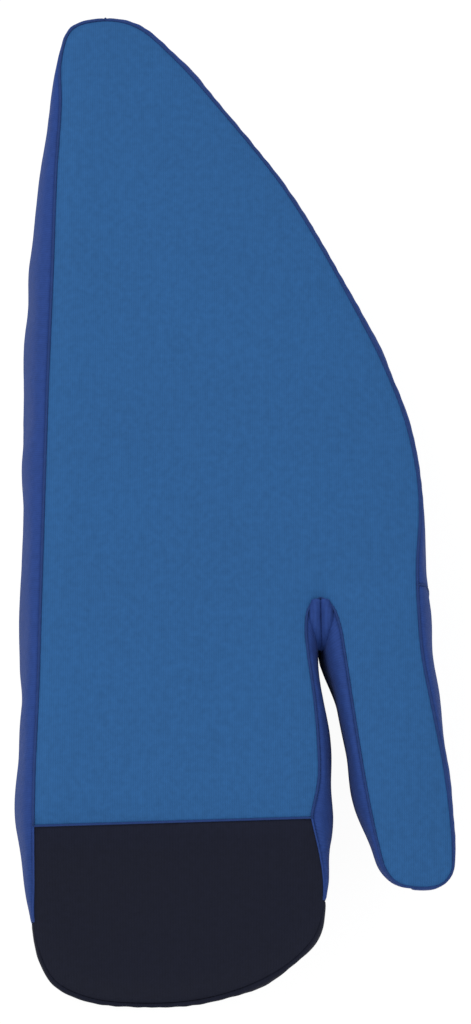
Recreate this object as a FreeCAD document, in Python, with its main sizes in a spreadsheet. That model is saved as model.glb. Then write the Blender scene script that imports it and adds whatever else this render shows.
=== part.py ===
"""Goalie catch glove: a padded mitt with a forearm guard, lying on its back with the catching face up.

Frame: +Z is up, away from the surface that the glove lies on, and the catching face looks up.
+Y runs from the fingertips to the forearm tip, and +X from the little finger to the thumb.
The origin is at the centre of the glove's footprint. Millimetres.
"""
import math
import os

import FreeCAD, Part

V = FreeCAD.Vector

# The driving dimensions: name, value in millimetres, what it is.
SIZES = [
    ("glove_length", 402.5, "fingertip edge to forearm tip"),
    ("glove_width", 176.5, "little finger side to thumb side"),
    ("ridge_height", 70, "height of the face at the ridge over the fingertips"),
    ("tip_height", 30, "height of the face at the forearm tip"),
    ("edge_height", 8, "height of the fingertip edge"),
    ("heel_rise", 14, "height of the underside at the forearm tip"),
    ("ridge_place", 63, "distance of the ridge from the fingertip edge"),
    ("mouth_place", 222, "distance of the pocket's mouth from the fingertip edge"),
    ("heel_place", 317, "distance of the rising underside from the fingertip edge"),
    ("fabric", 1.5, "outer fabric with its thin foam backing"),
    ("palm_foam", 12, "foam slab under the face"),
    ("plate_thick", 2, "plastic stiffeners under the foam slab"),
    ("wall_foam", 12, "foam beside the fingers"),
    ("thumb_wall_foam", 8, "foam beside the thumb"),
    ("back_foam", 5.5, "foam over the back of the hand"),
    ("liner_thick", 1.2, "lining of the hand pocket and the forearm cradle"),
    ("soft_gap", 0.3, "clearance between soft pieces that move apart"),
    ("pocket_end", 36, "distance of the pocket's end from the fingertip edge"),
    ("pocket_corner", 18, "cut corner of the pocket's end"),
    ("thumb_end", 38, "distance of the stall's end from the thumb tip"),
    ("thumb_lift", 28, "rise of the thumb's underside towards its tip"),
    ("thumb_bend", 76, "distance from the break to where the thumb's face turns down"),
    ("thumb_drop", 10, "fall of the thumb's face at its tip"),
    ("cradle_end", 20, "width of the cradle at its far end"),
    ("cradle_stop", 17, "distance of the cradle's far end from the forearm tip"),
    ("web_thick", 1.6, "fourchette between two finger stalls"),
    ("web_length", 62, "length of a fourchette"),
    ("binding_width", 3, "binding along the pocket's mouth"),
    ("strap_width", 30, "width of both straps"),
    ("strap_thick", 2.1, "thickness of the strap webbing"),
    ("strap_corner", 6, "corner radius of a strap's free end"),
    ("patch_thick", 1.2, "hook patch or loop patch"),
    ("anchor_length", 9, "sewn end of a strap"),
    ("wrist_strap_place", 228, "near edge of the wrist strap from the fingertip edge"),
    ("wrist_patch", 32, "length of the wrist strap's patches"),
    ("forearm_strap_place", 281, "near edge of the forearm strap from the fingertip edge"),
    ("forearm_patch", 22, "length of the forearm strap's patches"),
]

doc = FreeCAD.newDocument("goalie_catch_glove")
sheet = doc.addObject("Spreadsheet::Sheet", "sizes")
for row, (name, value, note) in enumerate(SIZES, start=1):
    sheet.set(f"A{row}", note)
    sheet.set(f"B{row}", str(value))
    sheet.setAlias(f"B{row}", name)
doc.recompute()
S = {name: float(sheet.get(name)) for name, value, note in SIZES}

LENGTH, WIDTH = S["glove_length"], S["glove_width"]
FABRIC = S["fabric"]
FAR = 3 * (LENGTH + WIDTH)  # larger than the glove, for cutting blocks


def at(across, along, height=0.0):
    """A point of the plan: across and along are shares of the glove's width and length from its centre."""
    return V(across * WIDTH, along * LENGTH, height)


# The plan of the hand and forearm part, as three-point arcs from corner to corner.
BULGE = at(-0.5, -0.298)
PALM_SIDE = at(-0.481, -0.144)
GUARD_SIDE = at(-0.401, 0.460)
TIP_TOP = at(-0.298, 0.500)
TIP_SHOULDER = at(-0.104, 0.446)
SHOULDER = at(0.407, 0.056)
NOTCH_SIDE = at(0.172, -0.134)
HAND_SIDE = at(0.219, -0.318)
HAND_CORNER = at(0.206, -0.392)
EDGE_RIGHT = at(0.156, -0.452)
EDGE_MIDDLE = at(-0.204, -0.500)
EDGE_LEFT = at(-0.406, -0.480)
LEFT_CORNER = at(-0.469, -0.392)

# The thumb breaks from the hand along a line from the notch to the outer edge.
BREAK_INNER = at(0.192, -0.118)
BREAK_OUTER = at(0.440, -0.101)

# The plan of the thumb, outer side, tip and inner side.
THUMB_OUTER = at(0.4915, -0.352)
THUMB_TIP = at(0.414, -0.420)
THUMB_INNER = at(0.318, -0.378)
THUMB_CROTCH = at(0.213, -0.150)

EDGE_Y = -LENGTH / 2
RIDGE_Y = EDGE_Y + S["ridge_place"]
MOUTH_Y = EDGE_Y + S["mouth_place"]
HEEL_Y = EDGE_Y + S["heel_place"]


def arcs(start, *steps):
    """Runs from start through (middle, end) pairs, clockwise; a middle of None is a straight run."""
    runs, here = [], start
    for middle, end in steps:
        runs.append((here, middle, end))
        here = end
    return runs


def run_edge(start, middle, end):
    """The arc or straight edge of one run."""
    if middle is None:
        return Part.LineSegment(start, end).toShape()
    return Part.Arc(start, middle, end).toShape()


def inward(edge, place):
    """Unit vector into the plan at a place on a clockwise edge."""
    along = edge.tangentAt(place)
    return V(along.y, -along.x, 0).normalize()


def drawn_in(runs, inset):
    """The same runs with the arcs moved into the plan; straight runs, where two parts meet, stay put."""
    edges = [run_edge(*run) for run in runs]
    insets = [inset if middle else 0.0 for start, middle, end in runs]
    corners = []
    for n, run in enumerate(runs):
        before = inward(edges[n - 1], edges[n - 1].LastParameter)
        after = inward(edges[n], edges[n].FirstParameter)
        turn = before.dot(after)
        spread = 1 - turn * turn
        shift = before * (insets[n - 1] - insets[n] * turn) + after * (insets[n] - insets[n - 1] * turn)
        corners.append(run[0] + (shift / spread if spread > 1e-9 else before * insets[n]))
    moved = []
    for n, (start, middle, end) in enumerate(runs):
        halfway = inward(edges[n], (edges[n].FirstParameter + edges[n].LastParameter) / 2)
        moved.append((corners[n], middle and middle + halfway * inset, corners[(n + 1) % len(runs)]))
    return moved


def plan_face(runs, inset=0.0):
    """The face inside a closed plan, drawn in by inset."""
    if inset:
        runs = drawn_in(runs, inset)
    return Part.Face(Part.Wire([run_edge(*run) for run in runs]))


HAND_RUNS = arcs(
    BULGE,
    (at(-0.487, -0.220), PALM_SIDE),
    (at(-0.472, 0.155), GUARD_SIDE),
    (at(-0.370, 0.487), TIP_TOP),
    (at(-0.190, 0.480), TIP_SHOULDER),
    (at(0.198, 0.262), SHOULDER),
    (at(0.428, -0.018), BREAK_OUTER),
    (None, BREAK_INNER),
    (at(0.180, -0.1255), NOTCH_SIDE),
    (at(0.196, -0.216), HAND_SIDE),
    (at(0.216, -0.356), HAND_CORNER),
    (at(0.193, -0.428), EDGE_RIGHT),
    (at(-0.012, -0.491), EDGE_MIDDLE),
    (at(-0.318, -0.4955), EDGE_LEFT),
    (at(-0.449, -0.440), LEFT_CORNER),
    (at(-0.491, -0.344), BULGE),
)
BREAK = (BREAK_OUTER - BREAK_INNER).normalize()
THUMB_WAY = V(BREAK.y, -BREAK.x, 0)  # along the thumb, towards its tip
THUMB_GAP = THUMB_WAY * S["soft_gap"]
THUMB_RUNS = arcs(
    BREAK_OUTER + THUMB_GAP,
    (at(0.459, -0.216), THUMB_OUTER),
    (at(0.474, -0.404), THUMB_TIP),
    (at(0.350, -0.411), THUMB_INNER),
    (at(0.264, -0.266), THUMB_CROTCH),
    (at(0.201, -0.128), BREAK_INNER + THUMB_GAP),
    (None, BREAK_OUTER + THUMB_GAP),
)


def prism(face, low=0.0, high=None):
    """The solid over a plan face from one height to another."""
    high = 2 * S["ridge_height"] if high is None else high
    solid = face.extrude(V(0, 0, high - low))
    solid.translate(V(0, 0, low))
    return solid


def under(point, normal, depth=0.0):
    """Everything on the inner side of a plane, moved in by depth."""
    block = Part.makeBox(FAR, FAR, FAR, V(-FAR / 2, -FAR / 2, -FAR))
    turn = FreeCAD.Rotation(V(0, 0, 1), normal)
    block.Placement = FreeCAD.Placement(point - normal * depth, turn)
    return block


def nearer(y):
    """Everything on the fingertip side of a plane across the glove."""
    return under(V(0, y, 0), V(0, 1, 0))


def polygon(*points):
    """The face inside straight runs."""
    return Part.Face(Part.makePolygon([*points, points[0]]))


FACE_RISE = (S["ridge_height"] - S["tip_height"]) / (LENGTH - S["ridge_place"])
FACE_NORMAL = V(0, FACE_RISE, 1).normalize()
RIDGE = V(0, RIDGE_Y, S["ridge_height"])
SLOPE_DROP = (S["ridge_height"] - S["edge_height"]) / S["ridge_place"]
SLOPE_NORMAL = V(0, -SLOPE_DROP, 1).normalize()
RIDGE_CUT = (FACE_NORMAL - SLOPE_NORMAL).normalize()  # of the plane that halves the ridge
HEEL = V(0, HEEL_Y, 0)
HEEL_NORMAL = V(0, S["heel_rise"] / (LENGTH - S["heel_place"]), -1).normalize()


THUMB_LENGTH = (THUMB_TIP - BREAK_OUTER).dot(THUMB_WAY)
THUMB_BEND_Y = BREAK_INNER.y - S["thumb_bend"]
THUMB_BEND = V(0, THUMB_BEND_Y, S["ridge_height"] - (THUMB_BEND_Y - RIDGE_Y) * FACE_RISE)
THUMB_DROP = (THUMB_WAY * (S["thumb_drop"] / (THUMB_LENGTH - S["thumb_bend"])) + V(0, 0, 1)).normalize()
THUMB_UNDERSIDE = (THUMB_WAY * (S["thumb_lift"] / THUMB_LENGTH) - V(0, 0, 1)).normalize()


def roof(depth):
    """Everything under the face and the fingertip slope, moved in by depth."""
    return under(RIDGE, FACE_NORMAL, depth).common(under(RIDGE, SLOPE_NORMAL, depth))


def floor(depth):
    """Everything over the underside and its rising heel, moved in by depth."""
    return under(V(), V(0, 0, -1), depth).common(under(HEEL, HEEL_NORMAL, depth))


def thumb_roof(depth):
    """Everything under the thumb's face, moved in by depth."""
    return under(RIDGE, FACE_NORMAL, depth).common(under(THUMB_BEND, THUMB_DROP, depth))


def thumb_floor(depth):
    """Everything over the thumb's rising underside, moved in by depth."""
    return under(BREAK_OUTER, THUMB_UNDERSIDE, depth)


def layer(solid, top, bottom, side=roof):
    """The part of solid between two depths under the face."""
    return solid.common(side(top)).cut(side(bottom))


# Depths under the face: fabric, foam slab, stiffener, lining.
CORE_BOTTOM = FABRIC + S["palm_foam"]
PLATE_BOTTOM = CORE_BOTTOM + S["plate_thick"]
LINER = S["liner_thick"]
POCKET_FLOOR = FABRIC + S["back_foam"]

# The hand pocket, its branch into the thumb, and the forearm cradle past its mouth.
WALL = FABRIC + S["wall_foam"]
THUMB_WALL = FABRIC + S["thumb_wall_foam"]
POCKET_LEFT = PALM_SIDE.x + WALL
POCKET_RIGHT = NOTCH_SIDE.x - THUMB_WALL + 1
POCKET_END_Y = EDGE_Y + S["pocket_end"]
STALL_RUNS = drawn_in(THUMB_RUNS, THUMB_WALL)
STALL_OUTER = STALL_RUNS[0][0] - THUMB_GAP
STALL_INNER = STALL_RUNS[-1][0] - THUMB_GAP
CRADLE_LEFT = GUARD_SIDE.x + WALL
CRADLE_Y = LENGTH / 2 - S["cradle_stop"]


def pocket(inset):
    """Plan of the hand pocket, drawn in by inset, open at its mouth and towards the thumb."""
    left, right = POCKET_LEFT + inset, POCKET_RIGHT - inset
    low, corner = POCKET_END_Y + inset, S["pocket_corner"]
    web = BREAK_INNER + V(0, THUMB_WALL + 4 + inset, 0)
    return polygon(
        V(left, MOUTH_Y, 0),
        V(left, low + corner, 0),
        V(left + corner, low, 0),
        V(right - corner, low, 0),
        V(right, low + corner, 0),
        V(right, BREAK_INNER.y - 4 + inset, 0),
        web + V(-3, 0, 0),
        web + V(6, 0, 0),
        STALL_INNER + BREAK * inset,
        STALL_OUTER - BREAK * inset,
        V(right, MOUTH_Y - 12 - inset, 0),
        V(right, MOUTH_Y, 0),
    )


def stall(inset):
    """Plan of the thumb stall, drawn in by inset, open towards the hand."""
    tip = BREAK_OUTER + THUMB_WAY * (THUMB_LENGTH - S["thumb_end"] - inset)
    return plan_face(THUMB_RUNS, THUMB_WALL + inset).common(under(tip, THUMB_WAY)).Faces[0]


def cradle_side(y, near, far):
    """Where a side wall of the cradle is at y, between its place at the mouth and at the far end."""
    return near + (far - near) * (y - MOUTH_Y) / (CRADLE_Y - MOUTH_Y)


def cradle_left(y):
    """Where the cradle's little finger side is at y."""
    return cradle_side(y, POCKET_LEFT, CRADLE_LEFT)


def cradle_right(y):
    """Where the cradle's thumb side is at y."""
    return cradle_side(y, POCKET_RIGHT, CRADLE_LEFT + S["cradle_end"])


def cradle(inset):
    """Plan of the forearm cradle, drawn in by inset, open at the pocket's mouth."""
    return polygon(
        V(cradle_left(MOUTH_Y) + inset, MOUTH_Y, 0),
        V(cradle_left(CRADLE_Y) + inset, CRADLE_Y - inset, 0),
        V(cradle_right(CRADLE_Y) - inset, CRADLE_Y - inset, 0),
        V(cradle_right(MOUTH_Y) - inset, MOUTH_Y, 0),
    )


parts = []


def keep(name, shape, least=5.0):
    """A sub-part as an object of the document, without crumbs under least cubic millimetres."""
    solids = [solid for solid in shape.removeSplitter().Solids if solid.Volume > least]
    piece = doc.addObject("Part::Feature", name)
    piece.Label = name
    piece.Shape = solids[0] if len(solids) == 1 else Part.makeCompound(solids)
    parts.append(piece)


hand_plan, hand_inner = plan_face(HAND_RUNS), plan_face(HAND_RUNS, FABRIC)
thumb_plan, thumb_inner = plan_face(THUMB_RUNS), plan_face(THUMB_RUNS, FABRIC)

# Straps: each lies in a bay across the cradle, sewn at its little finger side.
STRAP_TOP = S["soft_gap"] + S["strap_thick"]
LOOP_BOTTOM = STRAP_TOP + S["patch_thick"] + S["soft_gap"]
BAY_TOP = LOOP_BOTTOM + S["patch_thick"]
STRAPS = {
    "wrist": EDGE_Y + S["wrist_strap_place"],
    "forearm": EDGE_Y + S["forearm_strap_place"],
}


def strap_stations(name):
    """Where along X a strap's sewn end, the strap, its patches and its free end begin."""
    near = STRAPS[name]
    hinge = cradle_left(near)
    patch = cradle_right(near) + 2 * S["soft_gap"]
    return hinge - S["anchor_length"], hinge, patch, patch + S[name + "_patch"]


def strap_bay(name):
    """The recess that a strap, its sewn end and its patches lie in."""
    start, hinge, patch, end = strap_stations(name)
    corner = V(start, STRAPS[name] - S["soft_gap"], 0)
    return Part.makeBox(end + S["soft_gap"] - start, S["strap_width"] + 2 * S["soft_gap"], BAY_TOP, corner)


BAYS = strap_bay("wrist").fuse(strap_bay("forearm"))

# Outer fabric of the hand and forearm.
hand_block = prism(hand_plan).common(floor(0))
hand_skin = layer(hand_block, 0, FABRIC)
past_ridge = under(RIDGE, RIDGE_CUT)
keep("face_panel", hand_skin.cut(past_ridge))

wall_fabric = prism(hand_plan).cut(prism(hand_inner)).common(roof(FABRIC)).common(floor(FABRIC))
slope_skin = hand_skin.common(past_ridge)
keep("fingertip_panel", slope_skin.fuse(wall_fabric.common(nearer(LEFT_CORNER.y))))

upper_wall = wall_fabric.cut(nearer(LEFT_CORNER.y))
little_side = under(TIP_TOP, V(1, 0, 0))
keep("little_finger_gusset", upper_wall.common(little_side))
keep("outer_gusset", upper_wall.cut(little_side).cut(nearer(BREAK_OUTER.y - FABRIC)))
keep("crotch_gusset", upper_wall.cut(little_side).common(nearer(BREAK_INNER.y + FABRIC)))

back_skin = hand_block.common(roof(FABRIC)).cut(floor(FABRIC))
keep("back_panel", back_skin.cut(prism(cradle(0))).cut(BAYS))

# Foam of the hand and forearm.
foam_block = prism(hand_inner).common(floor(FABRIC))
top_foam = layer(foam_block, FABRIC, CORE_BOTTOM)
keep("palm_core", top_foam.cut(past_ridge))
keep("fingertip_core", top_foam.common(past_ridge))

hollow = prism(pocket(0)).fuse(prism(cradle(0)))
side_foam = foam_block.common(roof(CORE_BOTTOM)).cut(hollow).cut(BAYS)
little_half = under(V(CRADLE_LEFT + S["cradle_end"] / 2, 0, 0), V(1, 0, 0))
crotch_zone = nearer(BREAK_INNER.y + THUMB_WALL + 4)
crotch_zone = crotch_zone.common(under((BREAK_INNER + BREAK_OUTER) / 2, V(1, 0, 0)))
thumb_half = side_foam.cut(little_half)
keep("little_finger_core", side_foam.common(little_half))
keep("crotch_core", thumb_half.common(crotch_zone))
keep("guard_core", thumb_half.cut(crotch_zone))
keep("hand_back_core", prism(pocket(0), FABRIC, POCKET_FLOOR).common(roof(CORE_BOTTOM)))

# Stiffeners over the pocket and the cradle.
plate_layer = layer(hollow.common(floor(FABRIC)), CORE_BOTTOM, PLATE_BOTTOM)
keep("palm_plate", plate_layer.cut(past_ridge))
keep("fingertip_plate", plate_layer.common(past_ridge))

# Lining of the pocket, with its fourchettes, the binding of its mouth and the lining of the cradle.
pocket_block = prism(pocket(0), POCKET_FLOOR).common(roof(PLATE_BOTTOM))
pocket_room = prism(pocket(LINER), POCKET_FLOOR + LINER).common(roof(PLATE_BOTTOM + LINER))
keep("hand_liner", pocket_block.cut(pocket_room))

stalls = POCKET_RIGHT - POCKET_LEFT - 2 * LINER
webs = Part.makeCompound([
    Part.makeBox(S["web_thick"], S["web_length"], FAR, V(
        POCKET_LEFT + LINER + stalls * n / 4 - S["web_thick"] / 2, POCKET_END_Y + LINER, 0))
    for n in (1, 2, 3)
])
keep("finger_webs", webs.common(pocket_room))

mouth_edge = V(POCKET_LEFT, MOUTH_Y, 0)
binding = Part.makeBox(POCKET_RIGHT - POCKET_LEFT, S["binding_width"], POCKET_FLOOR + LINER, mouth_edge)
binding = binding.common(prism(cradle(0)))
keep("cuff_binding", binding)
cradle_block = prism(cradle(0)).common(roof(PLATE_BOTTOM)).common(floor(FABRIC))
cradle_room = prism(cradle(LINER)).common(roof(PLATE_BOTTOM + LINER))
keep("cradle_lining", cradle_block.cut(cradle_room).cut(binding).cut(BAYS))

# The thumb, a smaller pad of the same layers.
thumb_block = prism(thumb_plan).common(thumb_floor(0))
thumb_foam = prism(thumb_inner).common(thumb_floor(FABRIC))
thumb_wall = prism(thumb_plan).cut(prism(thumb_inner)).common(thumb_roof(FABRIC)).common(thumb_floor(FABRIC))
inner_side = under(THUMB_TIP, BREAK)
keep("thumb_face_panel", layer(thumb_block, 0, FABRIC, thumb_roof))
keep("thumb_inner_gusset", thumb_wall.common(inner_side))
keep("thumb_outer_gusset", thumb_wall.cut(inner_side))
keep("thumb_back_panel", thumb_block.common(thumb_roof(FABRIC)).cut(thumb_floor(FABRIC)))
keep("thumb_core", layer(thumb_foam, FABRIC, CORE_BOTTOM, thumb_roof))
stall_block = prism(stall(0)).common(thumb_floor(FABRIC)).common(thumb_roof(CORE_BOTTOM))
keep("thumb_side_core", thumb_foam.common(thumb_roof(CORE_BOTTOM)).cut(prism(stall(0))))
keep("thumb_plate", stall_block.cut(thumb_roof(PLATE_BOTTOM)))
keep("thumb_back_core", stall_block.common(thumb_roof(PLATE_BOTTOM)).cut(thumb_floor(POCKET_FLOOR)))
lined = stall_block.common(thumb_roof(PLATE_BOTTOM)).common(thumb_floor(POCKET_FLOOR))
thumb_room = prism(stall(LINER)).common(thumb_floor(POCKET_FLOOR + LINER))
keep("thumb_liner", lined.cut(thumb_room.common(thumb_roof(PLATE_BOTTOM + LINER))))


def strip(name, corner, length, height):
    """A box as wide as the straps, whose width and height follow the sheet."""
    box = doc.addObject("Part::Box", name)
    box.Label = name
    box.Length = length
    box.setExpression("Width", "sizes.strap_width")
    box.setExpression("Height", height)
    box.Placement.Base = corner
    return box


# Each strap, its sewn end on the glove, its hook patch and the loop patch over it.
for name, near_y in STRAPS.items():
    start, hinge, patch, end = strap_stations(name)
    anchor_height = "sizes.strap_thick + 2 * sizes.patch_thick + sizes.soft_gap"
    anchor = strip(f"{name}_strap_anchor", V(start, near_y, S["soft_gap"]), hinge - start, anchor_height)
    webbing = strip(f"{name}_webbing", V(hinge, near_y, S["soft_gap"]), end - hinge, "sizes.strap_thick")
    grip = end - patch - S["strap_corner"]
    hook = strip(f"{name}_hook_patch", V(patch, near_y, STRAP_TOP), grip, "sizes.patch_thick")
    loop = strip(f"{name}_loop_patch", V(patch, near_y, LOOP_BOTTOM), end - patch, "sizes.patch_thick")
    doc.recompute()
    free = [n for n, edge in enumerate(webbing.Shape.Edges, start=1)
            if edge.BoundBox.XMin > end - 0.01 and edge.BoundBox.ZLength > 1]
    strap = doc.addObject("Part::Fillet", f"{name}_strap")
    strap.Label = f"{name}_strap"
    strap.Base = webbing
    strap.Edges = [(n, S["strap_corner"], S["strap_corner"]) for n in free]
    parts += [anchor, strap, hook, loop]

doc.recompute()
for thing in doc.Objects:
    if {"Invalid", "Error"} & set(thing.State):
        raise SystemExit(f"{thing.Label}: {thing.State}")
os.makedirs("parts", exist_ok=True)
for piece in parts:
    if piece.Shape.isNull() or not piece.Shape.isValid():
        raise SystemExit(f"{piece.Label}: the shape is not valid")
    piece.Shape.exportStep(f"parts/{piece.Label}.step")
print(len(parts), "parts written")
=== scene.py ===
"""Goalie catch glove: the sewn covers, seams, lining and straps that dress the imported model.

Metres. +Z is up out of the catching face, +Y runs from the fingertips to the forearm tip and
+X from the little finger to the thumb.
"""
import math
from contextlib import contextmanager

import bpy
import bmesh
import numpy as np
from bpy.props import FloatProperty, FloatVectorProperty, PointerProperty
from bpy.types import Operator, Panel, PropertyGroup
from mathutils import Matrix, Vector, noise
from mathutils.geometry import delaunay_2d_cdt


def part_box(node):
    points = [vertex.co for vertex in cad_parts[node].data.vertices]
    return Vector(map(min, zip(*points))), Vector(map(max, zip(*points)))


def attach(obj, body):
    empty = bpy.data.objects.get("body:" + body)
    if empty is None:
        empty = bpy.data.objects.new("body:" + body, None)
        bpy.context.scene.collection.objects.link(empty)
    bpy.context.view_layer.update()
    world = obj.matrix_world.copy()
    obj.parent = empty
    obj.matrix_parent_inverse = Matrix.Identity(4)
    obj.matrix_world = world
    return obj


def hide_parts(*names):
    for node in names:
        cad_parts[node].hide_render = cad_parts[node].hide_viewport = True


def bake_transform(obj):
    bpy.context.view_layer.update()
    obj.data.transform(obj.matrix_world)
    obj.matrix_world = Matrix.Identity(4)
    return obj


bl_info = {
    "name": "Goalie Catch Glove",
    "version": (1, 0, 0),
    "blender": (4, 5, 0),
    "location": "View3D > Sidebar > Glove",
    "description": "Builds the sewn covers, seams, lining and straps of a padded catch glove",
    "category": "Object",
}

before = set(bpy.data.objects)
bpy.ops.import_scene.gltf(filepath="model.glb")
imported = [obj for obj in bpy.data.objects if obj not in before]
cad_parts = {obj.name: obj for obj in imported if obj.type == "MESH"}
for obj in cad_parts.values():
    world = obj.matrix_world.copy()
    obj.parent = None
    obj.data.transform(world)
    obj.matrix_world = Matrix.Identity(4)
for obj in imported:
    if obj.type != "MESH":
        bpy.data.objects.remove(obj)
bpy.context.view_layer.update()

MM = 0.001


def linear(red, green, blue):
    """A colour given as 0 to 255 screen values, as the linear values that shaders take."""
    def channel(value):
        value /= 255
        return value / 12.92 if value <= 0.04045 else ((value + 0.055) / 1.055) ** 2.4
    return channel(red), channel(green), channel(blue)


def size(name, description, millimetres):
    """A length in millimetres as a property in metres."""
    return FloatProperty(name=name, description=description, default=millimetres * MM,
                         subtype="DISTANCE", unit="LENGTH", precision=5)


def colour(name, description, red, green, blue):
    """A colour property."""
    return FloatVectorProperty(name=name, description=description, size=3, subtype="COLOR",
                               min=0.0, max=1.0, default=linear(red, green, blue))


class GloveSizes(PropertyGroup):
    """Sizes of the covers and their stitching."""
    face_crown: size("Face crown", "How far the face swells in its middle", 2.2)
    seam_drop: size("Seam drop", "How far the face falls to the seam round it", 2.4)
    crown_reach: size("Crown reach", "Distance from a seam at which a panel is full", 9.0)
    cloth: size("Cloth", "Thickness of the outer fabric", 1.1)
    welt: size("Welt", "Radius of the welt sewn into a seam", 0.5)
    stitch_length: size("Stitch length", "Length of one stitch of a seam", 3.0)
    stitch_gap: size("Stitch gap", "Gap between two stitches", 1.3)
    thread: size("Thread", "Radius of the sewing thread", 0.32)
    crease: size("Crease", "Depth of the creases in the gussets", 1.5)


class GloveColours(PropertyGroup):
    """Colours of the fabrics."""
    face: colour("Face", "Fabric of the catching face", 44, 93, 147)
    # The side walls are the face's blue cloth; this darker, more violet tint is painted shade.
    gusset: colour("Gusset", "Fabric of the side walls", 42, 69, 134)
    navy: colour("Navy", "Fabric over the fingertips and the back", 24, 27, 43)
    welt: colour("Welt", "Welt in the seams", 38, 62, 116)
    thread: colour("Thread", "Sewing thread", 70, 74, 84)
    lining: colour("Lining", "Lining of the pocket and the cradle", 44, 46, 54)
    webbing: colour("Webbing", "Webbing of the straps", 27, 29, 36)


# The glove's outline as stations: seam of the face (x, y), widest place (x, y), seam of the back (x, y),
# in millimetres. They run from the low end of the little finger's gusset up that side, over the forearm tip,
# down the outer side, round the thumb, into the crotch, down the hand's thumb side and round the fingertips.
LITTLE_FINGER_SIDE = [
    (-79.6, -173, -80.8, -172.6, -77.4, -172), (-79.3, -159, -83.2, -159, -79.0, -159),
    (-79.0, -139.6, -85.9, -140, -81.0, -140),
    (-78.7, -116, -86.8, -116, -82.0, -116), (-77.6, -84, -85.4, -84, -80.5, -84),
    (-77.0, -52, -85.6, -52, -80.5, -52), (-76.0, -2, -85.4, -2, -81.5, -2),
    (-75.0, 44, -85.0, 46, -82.4, 44), (-73.6, 90, -83.4, 91, -78.5, 91),
    (-72.6, 131, -80.2, 129, -75.0, 129), (-71.0, 162, -76.4, 162, -72.5, 162),
    (-71.0, 183, -73.0, 183, -70.0, 183),
]
FOREARM_TIP = [
    (-66.5, 195.9, -67.4, 197.4, -65.0, 194.2), (-53.0, 199.6, -53.0, 201.2, -53.0, 198.0),
    (-40.0, 196.6, -38.6, 198.0, -41.0, 194.0),
]
OUTER_SIDE = [
    (-24.0, 182.2, -22.6, 183.6, -26.0, 180.5), (-3.8, 158.1, -2.4, 159.2, -6.0, 156.5),
    (19.2, 127.5, 20.5, 128.3, 16.5, 125), (34.0, 102.5, 35.5, 103.3, 31.5, 100.5),
    (47.0, 77.5, 49.2, 78.8, 45.0, 76), (58.8, 53, 61.0, 54, 57.0, 52),
    (67.9, 28.5, 70.2, 29, 65.5, 28), (72.8, 5, 74.8, 4, 70.0, 4),
    (73.6, -14, 76.2, -18, 71.5, -18), (72.4, -31, 77.0, -32, 72.4, -32),
]
THUMB_OUTER_SIDE = [
    (72.3, -41.5, 77.6, -40.6, 73.0, -41.4), (72.6, -51, 78.2, -52, 74.0, -52),
    (74.0, -70, 79.0, -67, 75.0, -67), (78.0, -93, 81.2, -88, 77.2, -88),
    (82.4, -117, 84.4, -113, 80.4, -113), (84.9, -137, 85.7, -132, 81.2, -132),
]
THUMB_TIP = [
    (85.7, -149, 86.4, -145, 81.0, -145), (85.0, -157.2, 85.2, -155.0, 79.0, -152.5),
    (80.6, -161.8, 80.4, -160.4, 75.0, -156.0), (73.0, -162.9, 72.8, -161.4, 70.5, -157.0),
    (64.6, -161.6, 64.4, -160.4, 65.6, -155.4), (59.2, -156.4, 57.4, -154.4, 60.6, -150.6),
]
THUMB_INNER_SIDE = [
    (56.0, -146, 53.2, -144, 57.2, -143), (51.4, -124, 46.7, -124, 52.0, -124),
    (46.2, -90, 40.6, -90, 46.0, -90), (43.4, -70, 35.9, -72, 41.0, -71),
]
THUMB_CROTCH = [(41.4, -58, 34.4, -64.5, 37.5, -62), (38.6, -50.5, 33.7, -60, 35.8, -58)]
HAND_CROTCH = [
    (34.0, -46.9, 33.5, -57.5, 33.3, -56.5), (29.6, -50.4, 33.3, -60, 31.2, -58),
    (28.1, -58, 32.8, -64.5, 29.0, -62),
]
HAND_THUMB_SIDE = [
    (28.8, -69, 32.6, -71.5, 28.0, -70), (31.2, -87, 35.2, -87, 30.5, -86),
    (32.8, -107, 37.6, -107, 32.5, -107), (32.8, -122, 38.5, -123, 33.5, -123),
    (30.6, -133, 38.7, -133, 33.5, -133), (30.2, -136.2, 38.3, -139, 33.2, -139),
    (33.4, -149, 37.6, -148, 33.0, -148), (35.0, -158, 37.0, -157, 32.0, -157),
    (35.0, -165.0, 35.8, -164.5, 31.0, -163.5),
]
FINGERTIP_SIDE = [
    (34.2, -170.5, 35.2, -171, 30.0, -169.5), (31.0, -178.2, 32.4, -179.6, 27.0, -177),
    (21.2, -187.2, 22.2, -189.0, 18.5, -185), (6.0, -194.8, 6.6, -196.8, 5.0, -192.5),
    (-14.0, -200, -14.0, -202.0, -14.5, -197.5), (-36.0, -201.4, -36.0, -203.2, -36.0, -199.0),
    (-58.0, -199.4, -58.5, -201.0, -57.0, -197.0), (-71.6, -193.4, -72.6, -194.8, -69.5, -191.0),
    (-77.2, -184, -78.6, -184.6, -75.0, -183.0),
]
SEAM, WIDEST, BACK = slice(0, 2), slice(2, 4), slice(4, 6)

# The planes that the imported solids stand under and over, in millimetres.
RIDGE_Y, RIDGE_Z = -138.25, 70.0
FACE_RISE = 40 / 339.5
EDGE_Y, EDGE_Z = -201.25, 8.0
HEEL_Y, HEEL_SLOPE = 115.75, 14 / 85.5
THUMB_ROOT = (77.66, -40.65)
THUMB_WAY = (0.1547, -0.9880)
THUMB_LIFT = 28 / 126.1
THUMB_BEND, THUMB_FALL = 76.0, 0.318

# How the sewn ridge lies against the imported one, and how the cloth rolls over it.
RIDGE_UP, RIDGE_SKEW, RIDGE_END_X = 2.1, 0.034, 30
ROLL_DROP, ROLL_REACH = 3.0, 4.5


def ramp(value, blend):
    """0 below -blend, value over blend, and a round bend between."""
    return np.where(value > blend, value, np.clip(value + blend, 0, None) ** 2 / (4 * blend))


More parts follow.
